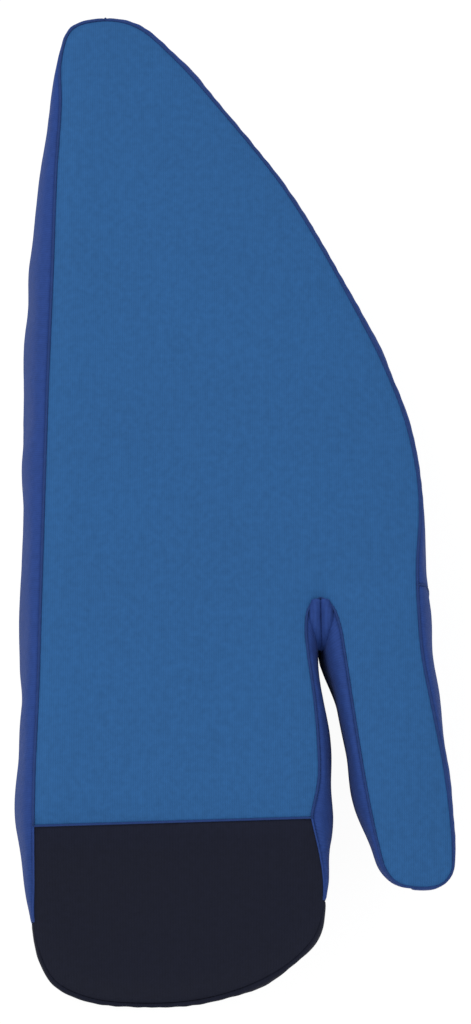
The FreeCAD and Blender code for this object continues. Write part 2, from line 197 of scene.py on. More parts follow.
def thumb_way(x, y):
    """How far towards the thumb's tip a place is from the line across the thumb's root."""
    return (x - THUMB_ROOT[0]) * THUMB_WAY[0] + (y - THUMB_ROOT[1]) * THUMB_WAY[1]


def ridge_line(x):
    """Where the ridge over the fingertips is, which runs a little askew."""
    return RIDGE_Y + RIDGE_UP - RIDGE_SKEW * (RIDGE_END_X - x)


def top(x, y, thumb):
    """Height of the face over a place of the plan, in millimetres."""
    face = RIDGE_Z - (y - RIDGE_Y) * FACE_RISE
    if thumb:
        return face - THUMB_FALL * ramp(thumb_way(x, y) - THUMB_BEND, 14.0)
    ridge = ridge_line(x)
    crest = RIDGE_Z - (ridge - RIDGE_Y) * FACE_RISE
    slope = crest + (y - ridge) * (crest - EDGE_Z) / (ridge - EDGE_Y)
    roll = ROLL_DROP * np.exp(-np.abs(y - ridge) / ROLL_REACH)
    return np.where(y < ridge, slope, face) - roll


def hand_top(x, y):
    """Height of the face of the hand and the guard."""
    return top(x, y, False)


def under(x, y, thumb):
    """Height of the back over a place of the plan, in millimetres."""
    if thumb:
        return THUMB_LIFT * ramp(thumb_way(x, y) - 10, 10.0)
    return HEEL_SLOPE * ramp(y - HEEL_Y - 8, 8.0)


def smooth(stations, step):
    """Places about step apart along a smooth closed curve through the stations, and where each station is."""
    knots = np.array(stations, float)
    knots = np.vstack([knots[-1:], knots, knots[:2]])
    span = np.maximum(np.linalg.norm(np.diff(knots, axis=0), axis=1) ** 0.5, 1e-6)
    out, found = [], []
    for n in range(1, len(knots) - 2):
        found.append(len(out))
        before, here, after = span[n - 1], span[n], span[n + 1]
        a, b, c, d = knots[n - 1:n + 3]
        leave = here * ((b - a) / before - (c - a) / (before + here) + (c - b) / here)
        arrive = here * ((c - b) / here - (d - b) / (here + after) + (d - c) / after)
        count = max(2, int(math.ceil(np.linalg.norm((c - b)[:2]) / step)))
        for k in range(count):
            t = k / count
            out.append((2 * t**3 - 3 * t**2 + 1) * b + (t**3 - 2 * t**2 + t) * leave
                       + (3 * t**2 - 2 * t**3) * c + (t**3 - t**2) * arrive)
    return np.array(out), found


def distance_to(points, line):
    """For each point of the plan, the distance to the nearest place on a line of places."""
    best = np.full(len(points), 1e9)
    for start, end in zip(line[:-1], line[1:]):
        way = end - start
        share = np.clip(((points - start) @ way) / max(way @ way, 1e-9), 0, 1)
        best = np.minimum(best, np.linalg.norm(points - start - share[:, None] * way, axis=1))
    return best


def rough(x, y, z, pitch, depth):
    """Smooth irregular relief: about depth high, with lumps about pitch across."""
    return depth * noise.noise(Vector((x / pitch, y / pitch, z / pitch)))


def new_mesh(name, points, faces, material, cut=None):
    """A mesh object from points in millimetres; cut places each point on the flat cloth it was cut from."""
    mesh = bpy.data.meshes.new(name)
    mesh.from_pydata([(p[0] * MM, p[1] * MM, p[2] * MM) for p in points], [], faces)
    mesh.materials.append(material)
    mesh.update()
    cut = points if cut is None else cut
    flat = mesh.uv_layers.new(name="cut")
    for loop, place in zip(mesh.loops, flat.data):
        spot = cut[loop.vertex_index]
        place.uv = (spot[0] * MM, spot[1] * MM)
    for face in mesh.polygons:
        face.use_smooth = True
    piece = bpy.data.objects.new(name, mesh)
    bpy.context.scene.collection.objects.link(piece)
    return piece


@contextmanager
def edited(piece):
    """A piece's mesh, open for editing."""
    work = bmesh.new()
    work.from_mesh(piece.data)
    work.verts.ensure_lookup_table()
    yield work
    work.to_mesh(piece.data)
    work.free()


def tidy_faces(piece):
    """Makes the faces of a piece all look outward."""
    with edited(piece) as work:
        bmesh.ops.recalc_face_normals(work, faces=work.faces)


def thicken(piece, depth, levels):
    """Gives a sheet its cloth thickness, inwards, and rounds it off by levels of subdivision."""
    solid = piece.modifiers.new("Cloth", "SOLIDIFY")
    solid.thickness = depth
    solid.offset = -1.0
    if levels:
        rounded = piece.modifiers.new("Smooth", "SUBSURF")
        rounded.levels = rounded.render_levels = levels
    freeze(piece)


def freeze(piece):
    """Applies a piece's modifiers to its mesh."""
    depsgraph = bpy.context.evaluated_depsgraph_get()
    mesh = bpy.data.meshes.new_from_object(piece.evaluated_get(depsgraph))
    piece.modifiers.clear()
    piece.data = mesh
    for face in mesh.polygons:
        face.use_smooth = True
    mesh.set_sharp_from_angle(angle=math.radians(50))


def sheet_of_rows(name, rows, material, closed=False, cut=None):
    """A mesh of quads over rows of points, each row as long as the next."""
    count = len(rows[0])
    points = [point for row in rows for point in row]
    faces = []
    for r in range(len(rows) - 1):
        for k in range(count if closed else count - 1):
            m = (k + 1) % count
            faces.append((r * count + k, r * count + m, (r + 1) * count + m, (r + 1) * count + k))
    return new_mesh(name, points, faces, material, cut)


def fill_plan(border, pitch, holes=()):
    """Points and triangles that fill a border in the plan, with the border's points first."""
    loops = [np.asarray(border)] + [np.asarray(hole) for hole in holes]
    verts, edges = [], []
    for loop in loops:
        first = len(verts)
        verts += [Vector(p[:2]) for p in loop]
        edges += [(first + k, first + (k + 1) % len(loop)) for k in range(len(loop))]
    outline = np.array([p[:2] for p in verts])
    low, high = outline.min(axis=0), outline.max(axis=0)
    lines = [np.vstack([loop[:, :2], loop[:1, :2]]) for loop in loops]
    rise = pitch * math.sqrt(0.75)
    inside = []
    for j in range(int((high[1] - low[1]) / rise) + 2):
        for i in range(int((high[0] - low[0]) / pitch) + 2):
            inside.append((low[0] + (i + 0.5 * (j % 2)) * pitch, low[1] + j * rise))
    inside = np.array(inside)
    gap = np.min([distance_to(inside, line) for line in lines], axis=0)
    inside = inside[gap > 0.6 * pitch]
    verts += [Vector(p) for p in inside]
    points, _, faces, *_ = delaunay_2d_cdt(verts, edges, [], 0 if holes else 1, 1e-6)
    points = np.array([tuple(p) for p in points])
    if holes:
        centres = np.array([points[list(f)].mean(axis=0) for f in faces])
        keep = [covers(lines[0], c) and not any(covers(line, c) for line in lines[1:]) for c in centres]
        faces = [f for f, kept in zip(faces, keep) if kept]
    return points, [tuple(f) for f in faces]


def covers(loop, point):
    """Whether a point is inside a closed line of places."""
    x, y = point
    a, b = loop[:-1], loop[1:]
    cross = (a[:, 1] > y) != (b[:, 1] > y)
    rise = np.where(b[:, 1] == a[:, 1], 1e-12, b[:, 1] - a[:, 1])
    at = a[:, 0] + (y - a[:, 1]) / rise * (b[:, 0] - a[:, 0])
    return bool(np.sum(cross & (x < at)) % 2)


PLACE_STEP = 3.0


def outline():
    """The whole outline, sampled once, cut into its named runs."""
    parts = {"little": LITTLE_FINGER_SIDE, "tip": FOREARM_TIP, "outer": OUTER_SIDE,
             "thumb_outer": THUMB_OUTER_SIDE, "thumb_tip": THUMB_TIP, "thumb_inner": THUMB_INNER_SIDE,
             "thumb_crotch": THUMB_CROTCH, "crotch": HAND_CROTCH, "hand": HAND_THUMB_SIDE,
             "fingertips": FINGERTIP_SIDE}
    places, found = smooth([station for part in parts.values() for station in part], PLACE_STEP)
    starts, n = {}, 0
    for name, part in parts.items():
        starts[name] = found[n]
        n += len(part)
    last_blue = n - len(FINGERTIP_SIDE) - 1
    starts["navy_left"], starts["navy_right"] = found[0], found[last_blue]
    starts["ridge_left"], starts["ridge_right"] = found[2], found[last_blue - 3]
    starts["tip_middle"] = found[len(LITTLE_FINGER_SIDE) + 1]
    return places, starts


def run(start, end):
    """The places of the outline from one named place to another, both kept."""
    a, b = STARTS[start], STARTS[end]
    if b > a:
        return OUTLINE[a:b + 1]
    return np.vstack([OUTLINE[a:], OUTLINE[:b + 1]])


OUTLINE, STARTS = outline()
BACK_LIP = 2.6


def seam_height(x, y, thumb, sizes):
    """Height of the seam round the face, in millimetres."""
    return top(x, y, thumb) - sizes.seam_drop / MM


WALL_ROWS = 15
WAIST, HIGH_WAIST = 0.45, 0.66
PUFF_ROUND = 0.62
GATHER_DEPTH, GATHER_TURN, GATHER_FADE = 0.45, 0.95, 5
CREASE_SPACING, CREASE_FADE, END_FADE = 21.0, 6, 9


def wall_rows(places, thumb, sizes, rows, waist_at):
    """Rows of a puffed side wall from the face's seam down to the back's seam, and the distance along it."""
    arc = np.concatenate([[0], np.cumsum(np.linalg.norm(np.diff(places[:, WIDEST], axis=0), axis=1))])
    grid = []
    for r in range(rows):
        angle = math.pi / 2 - math.pi * r / (rows - 1)
        row = []
        for place, along in zip(places, arc):
            seam, widest, back = place[SEAM], place[WIDEST], place[BACK]
            high = float(seam_height(*seam, thumb, sizes))
            low = float(under(*back, thumb)) + BACK_LIP
            waist = low + waist_at * (high - low)
            puff = max(math.cos(angle), 0.0) ** PUFF_ROUND
            share = r / (rows - 1)
            ground = seam * (1 - share) + back * share
            middle = seam * (0.5 + 0.1 * waist_at) + back * (0.5 - 0.1 * waist_at)
            out = widest - middle
            reach = max(float(np.linalg.norm(out)), 1e-6)
            reach_way = out / reach
            height = waist + (high - waist) * math.sin(angle) if r < rows / 2 else \
                waist + (waist - low) * math.sin(angle)
            near = min(high - height, height - low)
            ends = min(1.0, along / END_FADE, (arc[-1] - along) / END_FADE)
            wander = 3 * noise.noise(Vector((along / 16, height / 30, 2)))
            wave = math.sin(along * GATHER_TURN + wander)
            gather = GATHER_DEPTH * ends * math.exp(-near / GATHER_FADE) * wave
            crease = rough(along, height * 0.55, 7.0 + thumb, CREASE_SPACING, sizes.crease / MM)
            crease = crease * ends * min(1.0, near / CREASE_FADE)
            push = puff * (reach + crease) + gather * min(1.0, near / 1.2)
            spot = ground + reach_way * push
            row.append((spot[0], spot[1], height))
        grid.append(row)
    return grid, arc


def wall(name, places, thumb, material, sizes, rows=WALL_ROWS, waist_at=WAIST):
    """A gusset: a puffed side wall of cloth."""
    grid, arc = wall_rows(places, thumb, sizes, rows, waist_at)
    cut = [(along, 1.25 * spot[2]) for row in grid for along, spot in zip(arc, row)]
    piece = sheet_of_rows(name, grid, material, cut=cut)
    thicken(piece, sizes.cloth, 1)
    return piece


WELT_SUNK = 0.25


def wall_welt(name, places, sizes, material):
    """The welt down the seam where a wall ends on the next one."""
    grid = wall_rows(places, False, sizes, WALL_ROWS, WAIST)[0]
    end = places[-1]
    out = end[WIDEST] - (end[SEAM] * 0.545 + end[BACK] * 0.455)
    out = out / np.linalg.norm(out)
    line = [(row[-1][0] - WELT_SUNK * out[0], row[-1][1] - WELT_SUNK * out[1], row[-1][2]) for row in grid]
    return tube(name, line, sizes.welt / MM, material, across=Vector((-out[1], out[0], 0)).normalized())


# Relief of a panel, the distance from a seam at which it is full, and the gathers along the seam.
PANEL_RELIEF, RELIEF_REACH = ((3.0, 46.0, 1.1), (9.0, 17.0, 0.3)), 12
SEAM_GATHER, SEAM_GATHER_FADE, SEAM_GATHER_TURN, SEAM_GATHER_START = 0.22, 5, 0.9, 1.5


def crowned(name, border, seams, height, pitch, material, sizes, up=True, holes=(), drop=None, crown=None):
    """A panel over a border of the plan that swells between its seams."""
    points, faces = fill_plan(border, pitch, holes)
    gap = np.min([distance_to(points, line) for line in seams], axis=0)
    reach = sizes.crown_reach / MM
    drop = sizes.seam_drop / MM if drop is None else drop
    crown = sizes.face_crown / MM if crown is None else crown
    out = []
    for (x, y), away in zip(points, gap):
        fall = drop * math.exp(-away / (reach * 0.45))
        swell = crown * (1 - math.exp(-away / (4 * reach)))
        relief = sum(rough(x, y, *lumps) for lumps in PANEL_RELIEF) * min(1.0, away / RELIEF_REACH)
        gather = SEAM_GATHER * math.exp(-away / SEAM_GATHER_FADE) * math.sin((x + y) * SEAM_GATHER_TURN)
        gather *= min(1.0, away / SEAM_GATHER_START)
        lift = swell + relief + gather - fall
        out.append((x, y, float(height(x, y)) + (lift if up else max(fall - abs(relief) * 0.3, 0.0) + 0.1)))
    a, b, c = (np.array(out[i]) for i in faces[0][:3])
    if (np.cross(b - a, c - a)[2] > 0) != up:
        faces = [face[::-1] for face in faces]
    piece = new_mesh(name, out, faces, material)
    thicken(piece, sizes.cloth, 0)
    return piece


def tube(name, line, radius, material, flat=1.0, sides=8, across=None):
    """A round or flattened cord along a line of points in millimetres; across is a side of it all along."""
    line = [Vector(p) for p in line]
    count = len(line)
    rows = []
    for k, here in enumerate(line):
        before = line[k - 1] if k else here
        after = line[k + 1] if k < count - 1 else here
        way = (after - before).normalized()
        side = across or way.cross(Vector((0, 0, 1))).normalized()
        lift = side.cross(way)
        rows.append([here + side * radius * math.cos(a) + lift * radius * flat * math.sin(a)
                     for a in (2 * math.pi * s / sides for s in range(sides))])
    points = [tuple(p) for row in rows for p in row]
    faces = []
    for k in range(count - 1):
        m = k + 1
        for s in range(sides):
            t = (s + 1) % sides
            faces.append((k * sides + s, m * sides + s, m * sides + t, k * sides + t))
    faces += [tuple(range(sides)), tuple((count - 1) * sides + s for s in reversed(range(sides)))]
    piece = new_mesh(name, points, faces, material)
    tidy_faces(piece)
    return piece


def stitches(name, line, normals, material, sizes):
    """A row of stitches that lie on a surface along a line of points in millimetres."""
    line, normals = np.asarray(line, float), np.asarray(normals, float)
    arc = np.concatenate([[0], np.cumsum(np.linalg.norm(np.diff(line, axis=0), axis=1))])
    length, gap, radius = sizes.stitch_length / MM, sizes.stitch_gap / MM, sizes.thread / MM
    points, faces = [], []
    start = gap
    while start + length < arc[-1]:
        first = len(points)
        shares = (0.0, 0.12, 0.5, 0.88, 1.0)
        widths = (0.35, 0.85, 1.0, 0.85, 0.35)
        depths = (-0.5, 0.25, 0.7, 0.25, -0.5)
        for share, width, depth in zip(shares, widths, depths):
            at = start + share * length
            here = np.array([np.interp(at, arc, line[:, i]) for i in range(3)])
            ahead = np.array([np.interp(at + 0.3, arc, line[:, i]) for i in range(3)])
            up = np.array([np.interp(at, arc, normals[:, i]) for i in range(3)])
            up /= max(np.linalg.norm(up), 1e-9)
            way = ahead - here
            side = np.cross(way, up)
            side /= max(np.linalg.norm(side), 1e-9)
            for s in range(6):
                angle = 2 * math.pi * s / 6
                points.append(tuple(here + up * radius * depth + side * radius * width * math.cos(angle)
                                    + up * radius * width * math.sin(angle)))
        for ring in range(first, first + 24, 6):
            for s in range(6):
                t = (s + 1) % 6
                faces.append((ring + s, ring + t, ring + 6 + t, ring + 6 + s))
        faces.append(tuple(first + s for s in reversed(range(6))))
        faces.append(tuple(first + 24 + s for s in range(6)))
        start += length + gap
    piece = new_mesh(name, points, faces, material)
    tidy_faces(piece)
    return piece


# Materials.


def feed(tree, node, inputs):
    """Links or sets a shader node's inputs, each given by its name or place."""
    for key, value in inputs.items():
        if isinstance(value, bpy.types.NodeSocket):
            tree.links.new(value, node.inputs[key])
        else:
            node.inputs[key].default_value = value


def add(tree, kind, inputs):
    """A new shader node with its inputs linked or set."""
    node = tree.nodes.new("ShaderNode" + kind)
    feed(tree, node, inputs)
    return node


def math_node(tree, operation, *inputs):
    """The result of a Math node with its inputs linked or set."""
    node = add(tree, "Math", dict(enumerate(inputs)))
    node.operation = operation
    return node.outputs[0]


def node_group(name, inputs, outputs):
    """A new shader node group with its sockets, the sockets that feed it and the node that it ends in."""
    tree = bpy.data.node_groups.new(name, "ShaderNodeTree")
    for way, sockets in (("INPUT", inputs), ("OUTPUT", outputs)):
        for label, value in sockets.items():
            kind = "NodeSocketColor" if isinstance(value, tuple) else "NodeSocketFloat"
            tree.interface.new_socket(name=label, in_out=way, socket_type=kind).default_value = value
    return tree, tree.nodes.new("NodeGroupInput").outputs, tree.nodes.new("NodeGroupOutput")


def speckle(tree, place, scale, detail):
    """The grey of a noise texture."""
    return add(tree, "TexNoise", {"Vector": place, "Scale": scale, "Detail": detail}).outputs["Fac"]


def weave_group():
    """Woven threads: their height, and a mask that is high on top of a thread, which the wear group turns
    into a painted highlight.
    """
    tree, given, end = node_group("Weave", {"Thread pitch": 0.0008, "Rib": 0.5},
                                  {"Height": 0.0, "Thread top highlight": 0.0})
    place = add(tree, "TexCoord", {}).outputs["Object"]
    flat = add(tree, "UVMap", {})
    flat.uv_map = "cut"
    split = add(tree, "SeparateXYZ", {0: flat.outputs["UV"]})
    turns = math_node(tree, "DIVIDE", 2 * math.pi, given["Thread pitch"])
    waves = [math_node(tree, "SINE", math_node(tree, "MULTIPLY", split.outputs[n], turns)) for n in range(2)]
    across = math_node(tree, "MULTIPLY", waves[0], waves[1])
    ribs = math_node(tree, "ADD", waves[0], math_node(tree, "MULTIPLY", across, given["Rib"]))
    fuzz = speckle(tree, place, 900.0, 3.0)
    feed(tree, end, {"Height": math_node(tree, "ADD", math_node(tree, "MULTIPLY", ribs, 0.35), fuzz),
                     "Thread top highlight": math_node(tree, "MULTIPLY_ADD", ribs, 0.28, 0.5)})
    return tree


def wear_and_highlight_group():
    """Uneven colour: cloudy shade from handling, lighter rubbed edges, and a painted highlight on the thread
    tops.
    """
    tree, given, end = node_group(
        "Handling wear and thread highlight",
        {"Cloth colour": (0.1, 0.1, 0.1, 1), "Cloudiness": 0.1, "Rubbed edges": 0.2, "Thread top highlight": 0.5},
        {"Colour": (0.0, 0.0, 0.0, 1), "Roughness": 0.0})
    place = add(tree, "TexCoord", {}).outputs["Object"]
    cloud, fleck = speckle(tree, place, 22.0, 5.0), speckle(tree, place, 420.0, 2.0)
    cloudy = math_node(tree, "MULTIPLY", math_node(tree, "SUBTRACT", cloud, 0.5), given["Cloudiness"])
    flecked = math_node(tree, "MULTIPLY", math_node(tree, "SUBTRACT", fleck, 0.5), 0.35)
    # Painted highlight: the tops of the threads are coloured lighter.
    thread_highlight = math_node(tree, "MULTIPLY", math_node(tree, "SUBTRACT", given["Thread top highlight"], 0.5), 0.22)
    edge = add(tree, "NewGeometry", {}).outputs["Pointiness"]
    proud = math_node(tree, "MAXIMUM", math_node(tree, "SUBTRACT", edge, 0.52), 0.0)
    rub = math_node(tree, "MULTIPLY", proud, given["Rubbed edges"])
    uneven, highlight_and_rub = math_node(tree, "ADD", cloudy, flecked), math_node(tree, "ADD", thread_highlight, rub)
    value = math_node(tree, "ADD", uneven, highlight_and_rub)
    shade = add(tree, "HueSaturation", {"Color": given["Cloth colour"],
                                        "Value": math_node(tree, "ADD", value, 1.0)})
    feed(tree, end, {"Colour": shade.outputs["Color"],
                     "Roughness": math_node(tree, "MULTIPLY_ADD", cloud, 0.16, 0.7)})
    return tree


def shared(name, build):
    """A node group, built the first time that it is asked for."""
    return bpy.data.node_groups.get(name) or build()


def new_material(name):
    """A new material with its nodes and its surface shader."""
    material = bpy.data.materials.new(name)
    material.use_nodes = True
    return material, material.node_tree, material.node_tree.nodes["Principled BSDF"]


def use_group(tree, name, build, inputs):
    """A shared node group in a material, with its inputs linked or set."""
    node = add(tree, "Group", {})
    node.node_tree = shared(name, build)
    feed(tree, node, inputs)
    return node.outputs


def cloth(name, tint, pitch=0.9, rib=0.5, relief=0.12, cloudiness=0.12, rub=0.5, sheen=0.03):
    """A woven fabric with its threads, uneven colour, rubbed edges and a painted highlight on the thread
    tops.
    """
    found = bpy.data.materials.get(name)
    if found:
        return found
    material, tree, shader = new_material(name)
    weave = use_group(tree, "Weave", weave_group, {"Thread pitch": pitch * MM, "Rib": rib})
    wear_and_highlight = use_group(tree, "Handling wear and thread highlight", wear_and_highlight_group, {
        "Cloth colour": (*tint, 1.0), "Cloudiness": cloudiness, "Rubbed edges": rub,
        "Thread top highlight": weave["Thread top highlight"]})
    bump = add(tree, "Bump", {"Strength": 0.55, "Distance": relief * MM, "Height": weave["Height"]})
    feed(tree, shader, {"Base Color": wear_and_highlight["Colour"], "Roughness": wear_and_highlight["Roughness"],
                        "Normal": bump.outputs["Normal"], "Sheen Weight": sheen, "Sheen Roughness": 0.5,
                        "Specular IOR Level": 0.12})
    return material


def face_fabric(tints):
    """The plain blue cloth of the catching face."""
    return cloth("Face fabric", tints.face, pitch=0.9, relief=0.1, cloudiness=0.10)


def gusset_shaded_fabric(tints):
    """The side walls' cloth: the face's blue cloth, coloured darker and more violet as painted shade."""
    return cloth("Gusset fabric with painted shade", tints.gusset, pitch=0.9, relief=0.12, cloudiness=0.16)


def navy_fabric(tints):
    """The near-black cloth of the fingertips and the back."""
    return cloth("Navy fabric", tints.navy, pitch=1.1, relief=0.12, cloudiness=0.2)


def lining_fabric(tints):
    """The soft cloth inside the pocket and the cradle."""
    return cloth("Lining fabric", tints.lining, pitch=1.4, relief=0.16, cloudiness=0.25)


def place(piece, body, slot, *nodes):
    """Puts a piece on its body and hides the solids that it stands for; its finish is not used."""
    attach(piece, body)
    finish(piece, slot, *nodes)


def place_on_thumb(piece, slot, *nodes):
    """For cloth on the thumb: bakes its placement into its mesh and hides the solids that it stands for."""
    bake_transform(piece)
    finish(piece, slot, *nodes)


def finish(piece, slot, *nodes):
    """Takes a piece's finish, which is not used, and hides the solids that it stands for."""
    if nodes:
        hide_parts(*nodes)


def slab_rows(low, high, round_by, across, along, ripple=0.0):
    """Rows of a closed ring round a flat strip along X: low and high corners in millimetres."""
    rows = []
    for n in range(along + 1):
        x = low[0] + (high[0] - low[0]) * n / along
        lift = ripple * noise.noise(Vector((x / 18, low[1] / 20, 4)))
        half = (high[2] - low[2]) / 2
        middle = (high[2] + low[2]) / 2 + lift
        ring = []
        for k in range(across + 1):
            ring.append((x, low[1] + (high[1] - low[1]) * k / across, middle + half))
        for k in range(across + 1):
            ring.append((x, high[1] - (high[1] - low[1]) * k / across, middle - half))
        ring[0] = (x, low[1] + round_by, middle + half)
        ring[across] = (x, high[1] - round_by, middle + half)
        ring.insert(across + 1, (x, high[1], middle))
        ring.append((x, low[1], middle))
        rows.append(ring)
    return rows


def strip(name, low, high, material, round_by=0.5, taper=0.0, ripple=0.0):
    """A closed strip of webbing or tape; taper rounds the corners of its far end."""
    rows = slab_rows(low, high, round_by, 8, 26, ripple)
    if taper:
        middle = (low[1] + high[1]) / 2
        for n, row in enumerate(rows):
            over = row[0][0] - (high[0] - taper)
            if over > 0:
                cut = taper - math.sqrt(max(taper ** 2 - over ** 2, 0.0))
                half = (high[1] - low[1]) / 2
                share = (half - cut) / half
                rows[n] = [(x, middle + (y - middle) * share, z) for x, y, z in row]
    piece = sheet_of_rows(name, rows, material, closed=True)
    count = len(rows[0])
    last = (len(rows) - 1) * count
    with edited(piece) as work:
        work.faces.new([work.verts[k] for k in range(count)])
        work.faces.new([work.verts[last + k] for k in reversed(range(count))])
        bmesh.ops.recalc_face_normals(work, faces=work.faces)
    return piece


def corners(node):
    """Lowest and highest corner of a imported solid, in millimetres."""
    low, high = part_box(node)
    return [v / MM for v in low], [v / MM for v in high]


class GLOVE_OT_face(Operator):
    """Build the padded catching face of the hand, the guard and the thumb"""
    bl_idname = "glove.face"
    bl_label = "Catching face"

    def execute(self, context):
        sizes, tints = context.scene.glove_sizes, context.scene.glove_colours
        blue = face_fabric(tints)
        hand = np.vstack([run("ridge_left", "thumb_outer"), run("crotch", "ridge_right")])[:, SEAM]
        thumb = run("thumb_outer", "crotch")[:, SEAM]
        right, left = OUTLINE[STARTS["ridge_right"]][SEAM], OUTLINE[STARTS["ridge_left"]][SEAM]
        ridge = np.linspace(right, left, 30)
        seams = [run("ridge_left", "ridge_right")[:, SEAM], ridge]
        root = np.linspace(OUTLINE[STARTS["thumb_outer"]][SEAM], OUTLINE[STARTS["crotch"]][SEAM], 14)
        split = STARTS["thumb_outer"] - STARTS["ridge_left"] + 1
        border = np.vstack([hand[:split], root[1:-1], hand[split:], ridge[1:-1]])
        face = crowned("face_cover", border, seams, hand_top, 5.0, blue, sizes)
        place(face, "glove", "face_fabric", "face_panel", "palm_core")
        border = np.vstack([thumb, root[::-1][1:-1]])
        pad = crowned("thumb_face_cover", border, seams, lambda x, y: top(x, y, True), 4.0, blue, sizes)
        place_on_thumb(pad, "face_fabric", "thumb_face_panel", "thumb_core", "thumb_side_core")
        return {"FINISHED"}


CROTCH_X, CROTCH_Y = 33.9, -47.2
FOLD_LENGTH, FOLD_DEPTH, FOLD_SLOPE, FOLD_END = 18.0, 2.2, 5.0, 10.0
FOLD_HALF, FOLD_SWELL, FOLD_LOBE = 3.0, 2.4, 2.6


def crotch_fold(material, sizes):
    """The gathered cloth that fills the crotch between the hand and the thumb."""
    rows = []
    for n in range(15):
        t = n / 14
        y = CROTCH_Y - 0.5 - FOLD_LENGTH * t
        half = FOLD_HALF + FOLD_SWELL * math.sin(math.pi * min(t * 1.3, 0.9))
        high = float(hand_top(CROTCH_X, y)) - FOLD_DEPTH - FOLD_SLOPE * t - FOLD_END * t ** 4
        row = []
        for k in range(17):
            side = k / 8 - 1
            lobe = math.sin(math.pi * abs(side)) ** 0.7
            z = high + FOLD_LOBE * lobe - 3.0 * (1 - abs(side)) ** 6 - 5.0 * abs(side) ** 5
            row.append((CROTCH_X + 0.5 * t + half * side, y, z + rough(side * 6, y, 5.0, 5.0, 0.3)))
        rows.append(row)
    piece = sheet_of_rows("crotch_fold_cover", rows, material)
    thicken(piece, sizes.cloth, 1)
    return piece


class GLOVE_OT_gussets(Operator):
    """Build the puffed side walls between the face and the back"""
    bl_idname = "glove.gussets"
    bl_label = "Gussets"

    def execute(self, context):
        sizes, tints = context.scene.glove_sizes, context.scene.glove_colours
        shaded_gusset_cloth = gusset_shaded_fabric(tints)
        side = wall("little_finger_gusset_cover", run("navy_left", "tip_middle"), False, shaded_gusset_cloth, sizes)
        place(side, "glove", "gusset", "little_finger_gusset", "little_finger_core")
        outer = wall("outer_gusset_cover", run("tip_middle", "thumb_outer"), False, shaded_gusset_cloth, sizes)
        place(outer, "glove", "gusset", "outer_gusset", "guard_core")
        places = run("crotch", "navy_right")
        crotch = wall("crotch_gusset_cover", places, False, shaded_gusset_cloth, sizes, waist_at=HIGH_WAIST)
        place(crotch, "glove", "gusset", "crotch_gusset", "crotch_core")
        tip = STARTS["thumb_tip"] + 10
        places = OUTLINE[STARTS["thumb_outer"]:tip + 1]
        thumb_outer = wall("thumb_outer_gusset_cover", places, True, shaded_gusset_cloth, sizes)
        place_on_thumb(thumb_outer, "gusset", "thumb_outer_gusset")
        places = OUTLINE[tip:STARTS["crotch"] + 1]
        thumb_inner = wall("thumb_inner_gusset_cover", places, True, shaded_gusset_cloth, sizes, waist_at=HIGH_WAIST)
        place_on_thumb(thumb_inner, "gusset", "thumb_inner_gusset")
        fold = crotch_fold(shaded_gusset_cloth, sizes)
        place(fold, "glove", "gusset")
        return {"FINISHED"}


class GLOVE_OT_fingertips(Operator):
    """Build the sloped panel over the fingertips and its low edge"""
    bl_idname = "glove.fingertips"
    bl_label = "Fingertip panel"

    def execute(self, context):
        sizes, tints = context.scene.glove_sizes, context.scene.glove_colours
        navy = navy_fabric(tints)
        around = run("ridge_right", "ridge_left")[:, SEAM]
        ridge = np.linspace(around[-1], around[0], 30)
        border = np.vstack([around, ridge[1:-1]])
        panel = crowned("fingertip_cover", border, [around, ridge], hand_top, 5.0, navy, sizes)
        place(panel, "glove", "navy_fabric", "fingertip_panel", "fingertip_core")
        edge = wall("fingertip_edge_cover", run("navy_right", "navy_left"), False, navy, sizes, rows=9)
        place(edge, "glove", "navy_fabric")
        return {"FINISHED"}


class GLOVE_OT_back(Operator):
    """Build the panels over the back of the hand, the bolsters of the guard and the thumb"""
    bl_idname = "glove.back"
    bl_label = "Back panels"

    def execute(self, context):
        sizes, tints = context.scene.glove_sizes, context.scene.glove_colours
        navy = navy_fabric(tints)
        root = np.linspace(OUTLINE[STARTS["thumb_outer"]][BACK], OUTLINE[STARTS["crotch"]][BACK], 14)
        around = run("crotch", "thumb_outer")[:, BACK]
        border = np.vstack([around, root[1:-1]])
        seams = [OUTLINE[:, BACK]]
        opening = cradle_outline()
        panel = crowned("back_cover", border, seams, lambda x, y: under(x, y, False), 6.0, navy, sizes,
                        up=False, holes=[opening], drop=BACK_LIP, crown=0.0)
        place(panel, "glove", "navy_fabric", "back_panel", "hand_back_core")
        border = np.vstack([run("thumb_outer", "crotch")[:, BACK], root[::-1][1:-1]])
        pad = crowned("thumb_back_cover", border, seams, lambda x, y: under(x, y, True), 5.0, navy, sizes,
                      up=False, drop=BACK_LIP, crown=0.0)
        place_on_thumb(pad, "navy_fabric", "thumb_back_panel", "thumb_back_core")
        return {"FINISHED"}


CRADLE_MOUTH_Y, CRADLE_END_Y = 20.75, 183.5
CRADLE_LEFT, CRADLE_RIGHT = (-70.6, -56.6), (21.0, -37.6)
BAY_TOP = 5.35
POCKET_LEFT, POCKET_RIGHT, POCKET_LENGTH, POCKET_SQUEEZE, POCKET_TOP = -70, 20, 184, 14, 62.0
FACE_FOAM, FINGERTIP_FOAM, BACK_FOAM, CRADLE_FOAM = 16.4, 22.5, 8.4, 16.2


def cradle_side(ends, y):
    """Where a side of the cradle is at y, in millimetres."""
    return ends[0] + (ends[1] - ends[0]) * (y - CRADLE_MOUTH_Y) / (CRADLE_END_Y - CRADLE_MOUTH_Y)


def strap_bays():
    """Lowest and highest corner of the bay that each strap lies in, seen from above."""
    bays = []
    for name in ("wrist", "forearm"):
        low = corners(f"{name}_strap_anchor")[0]
        high = corners(f"{name}_loop_patch")[1]
        bays.append((low[0] - 0.3, low[1] - 0.3, high[0] + 0.3, high[1] + 0.3))
    return bays


